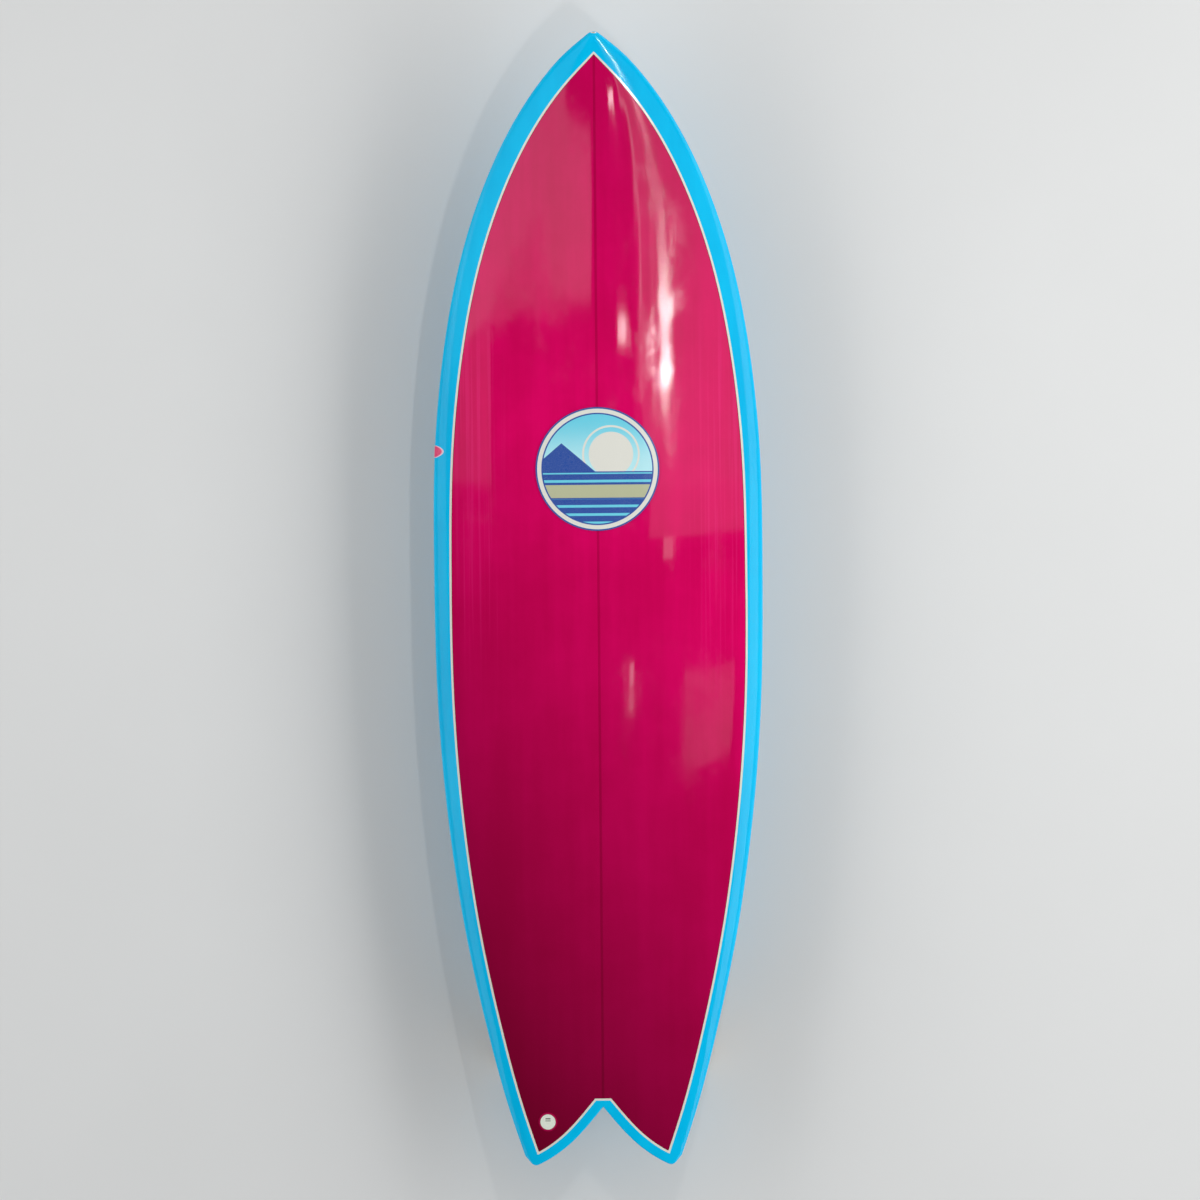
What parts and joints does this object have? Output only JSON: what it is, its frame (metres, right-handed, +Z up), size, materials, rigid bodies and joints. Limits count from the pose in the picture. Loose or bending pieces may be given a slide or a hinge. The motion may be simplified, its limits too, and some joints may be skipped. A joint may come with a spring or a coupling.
{
  "type": "fish surfboard",
  "caption": "Short swallow-tail fish surfboard with tinted glass deck, contrasting lapped rails and pinline, leash plug and two removable keel fins.",
  "frame": {"origin": "on the stringer at the middle of the bottom's flat spot, half way along the board", "axes": "+Y to the nose, +X to starboard, +Z up out of the deck"},
  "size_m": [0.5332, 1.829, 0.216],
  "materials": {
    "foam": "matte",
    "stringer_wood": "satin",
    "deck_resin": "gloss",
    "bottom_resin": "gloss",
    "pinline": "gloss",
    "emblem": "gloss",
    "potting_resin": "gloss",
    "box_plastic": "satin",
    "screw_steel": "satin",
    "fin_glass": "gloss",
    "fin_plywood": "satin",
    "plug_plastic": "satin",
    "pin_steel": "polished",
    "cover_plastic": "satin",
    "sticker": "gloss"
  },
  "bodies": {
    "board": {"bottom_laminate": "bottom_resin", "deck_emblem": "emblem", "deck_laminate": "deck_resin", "fin_box_left": "box_plastic", "fin_box_resin_left": "potting_resin", "fin_box_resin_right": "potting_resin", "fin_box_right": "box_plastic", "foam_core_left": "foam", "foam_core_right": "foam", "leash_plug_cup": "plug_plastic", "leash_plug_pin": "pin_steel", "leash_plug_resin": "potting_resin", "pinline": "pinline", "rail_sticker": "sticker", "stringer": "stringer_wood"},
    "keel_left": {"keel_fin_left": "fin_glass", "keel_core_left": "fin_plywood"},
    "keel_right": {"keel_fin_right": "fin_glass", "keel_core_right": "fin_plywood"},
    "screw_front_left": {"fin_screw_front_left": "screw_steel"},
    "screw_rear_left": {"fin_screw_rear_left": "screw_steel"},
    "screw_front_right": {"fin_screw_front_right": "screw_steel"},
    "screw_rear_right": {"fin_screw_rear_right": "screw_steel"},
    "plug_cover": {"leash_plug_cover": "cover_plastic"}
  },
  "joints": [
    {"name": "keel_left_slide", "type": "slide", "parent": "board", "child": "keel_left", "axis": [-0.0697, -0.0746, -0.9948], "range_m": [0, 0.02]},
    {"name": "keel_right_slide", "type": "slide", "parent": "board", "child": "keel_right", "axis": [0.0697, -0.0746, -0.9948], "range_m": [0, 0.02]},
    {"name": "screw_front_left_back_out", "type": "slide", "parent": "board", "child": "screw_front_left", "axis": [0.6557, -0.0811, -0.7507], "range_m": [0, 0.004]},
    {"name": "screw_rear_left_back_out", "type": "slide", "parent": "board", "child": "screw_rear_left", "axis": [0.6557, -0.0811, -0.7507], "range_m": [0, 0.004]},
    {"name": "screw_front_right_back_out", "type": "slide", "parent": "board", "child": "screw_front_right", "axis": [-0.6557, -0.0811, -0.7507], "range_m": [0, 0.004]},
    {"name": "screw_rear_right_back_out", "type": "slide", "parent": "board", "child": "screw_rear_right", "axis": [-0.6557, -0.0811, -0.7507], "range_m": [0, 0.004]},
    {"name": "plug_cover_lift", "type": "slide", "parent": "board", "child": "plug_cover", "axis": [-0.09, -0.0148, 0.9958], "range_m": [0, 0.012]}
  ]
}
